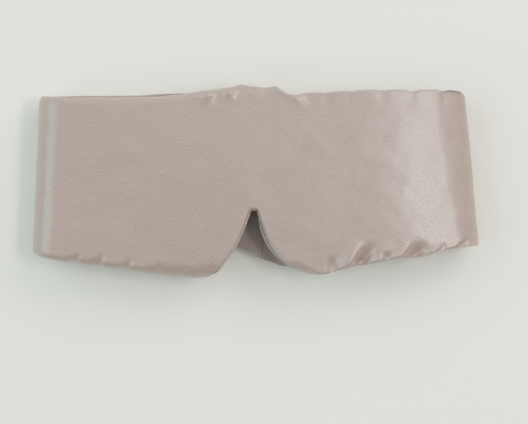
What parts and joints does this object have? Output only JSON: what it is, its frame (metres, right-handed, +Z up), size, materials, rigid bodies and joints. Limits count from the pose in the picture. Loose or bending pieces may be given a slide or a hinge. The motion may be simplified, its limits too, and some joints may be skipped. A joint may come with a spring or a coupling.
{
  "type": "padded wrap-around eye mask",
  "caption": "Padded satin wrap-around eye mask with a nose notch, closed at the back by a hook-and-loop flap and lying folded flat.",
  "frame": {"origin": "on the table under the middle of the mask's outline", "axes": "+X towards the mask's right side as the picture shows it, +Y towards the forehead edge, +Z up, out of the front"},
  "size_m": [0.2654, 0.113, 0.035],
  "materials": {
    "satin": "mauve-taupe satin weave with a soft sheen",
    "lining_satin": "the same satin, skin side",
    "binding_satin": "satin folded over a cord",
    "wadding": "white fibre wadding",
    "blackout_cloth": "black light-blocking cloth",
    "stiffener_cloth": "off-white interfacing",
    "hook_nylon": "moulded hooks",
    "loop_nylon": "looped pile"
  },
  "bodies": {
    "front_pad": {"front_shell": "satin", "front_lining": "lining_satin", "front_outer_wadding": "wadding", "front_blackout_layer": "blackout_cloth", "front_inner_wadding": "wadding", "nose_notch_binding": "binding_satin"},
    "left_side_roll": {"left_side_shell": "satin", "left_side_wadding": "wadding", "left_side_lining": "lining_satin"},
    "left_band": {"left_band_shell": "satin", "left_band_wadding": "wadding", "left_band_lining": "lining_satin", "closure_loop_tape": "loop_nylon"},
    "right_side_roll": {"right_side_shell": "satin", "right_side_wadding": "wadding", "right_side_lining": "lining_satin"},
    "right_band": {"right_band_shell": "satin", "right_band_wadding": "wadding", "right_band_lining": "lining_satin", "flap_root_strip": "satin"},
    "closure_flap": {"flap_shell": "satin", "flap_stiffener": "stiffener_cloth", "flap_lining": "lining_satin", "closure_hook_tape": "hook_nylon"}
  },
  "joints": [
    {"name": "left_fold_upper", "type": "hinge", "parent": "front_pad", "child": "left_side_roll", "pos_m": [-0.12596, 0, 0.02646], "axis": [0.0599, 0.9982, 0], "range_deg": [0, 90]},
    {"name": "left_fold_lower", "type": "hinge", "parent": "left_side_roll", "child": "left_band", "pos_m": [-0.12596, 0, 0.00454], "axis": [0.0599, 0.9982, 0], "range_deg": [0, 90]},
    {"name": "right_fold_upper", "type": "hinge", "parent": "front_pad", "child": "right_side_roll", "pos_m": [0.12596, 0, 0.02646], "axis": [0.0599, -0.9982, 0], "range_deg": [0, 90]},
    {"name": "right_fold_lower", "type": "hinge", "parent": "right_side_roll", "child": "right_band", "pos_m": [0.12596, 0, 0.00454], "axis": [0.0599, -0.9982, 0], "range_deg": [0, 90]},
    {"name": "flap_peel", "type": "hinge", "parent": "right_band", "child": "closure_flap", "pos_m": [0.0005, 0, 0], "axis": [0, -1, 0], "range_deg": [0, 150]}
  ],
  "couplings": [
    {"joint": "left_fold_lower", "follows": "left_fold_upper", "ratio": 1},
    {"joint": "right_fold_upper", "follows": "left_fold_upper", "ratio": 1},
    {"joint": "right_fold_lower", "follows": "left_fold_upper", "ratio": 1}
  ]
}
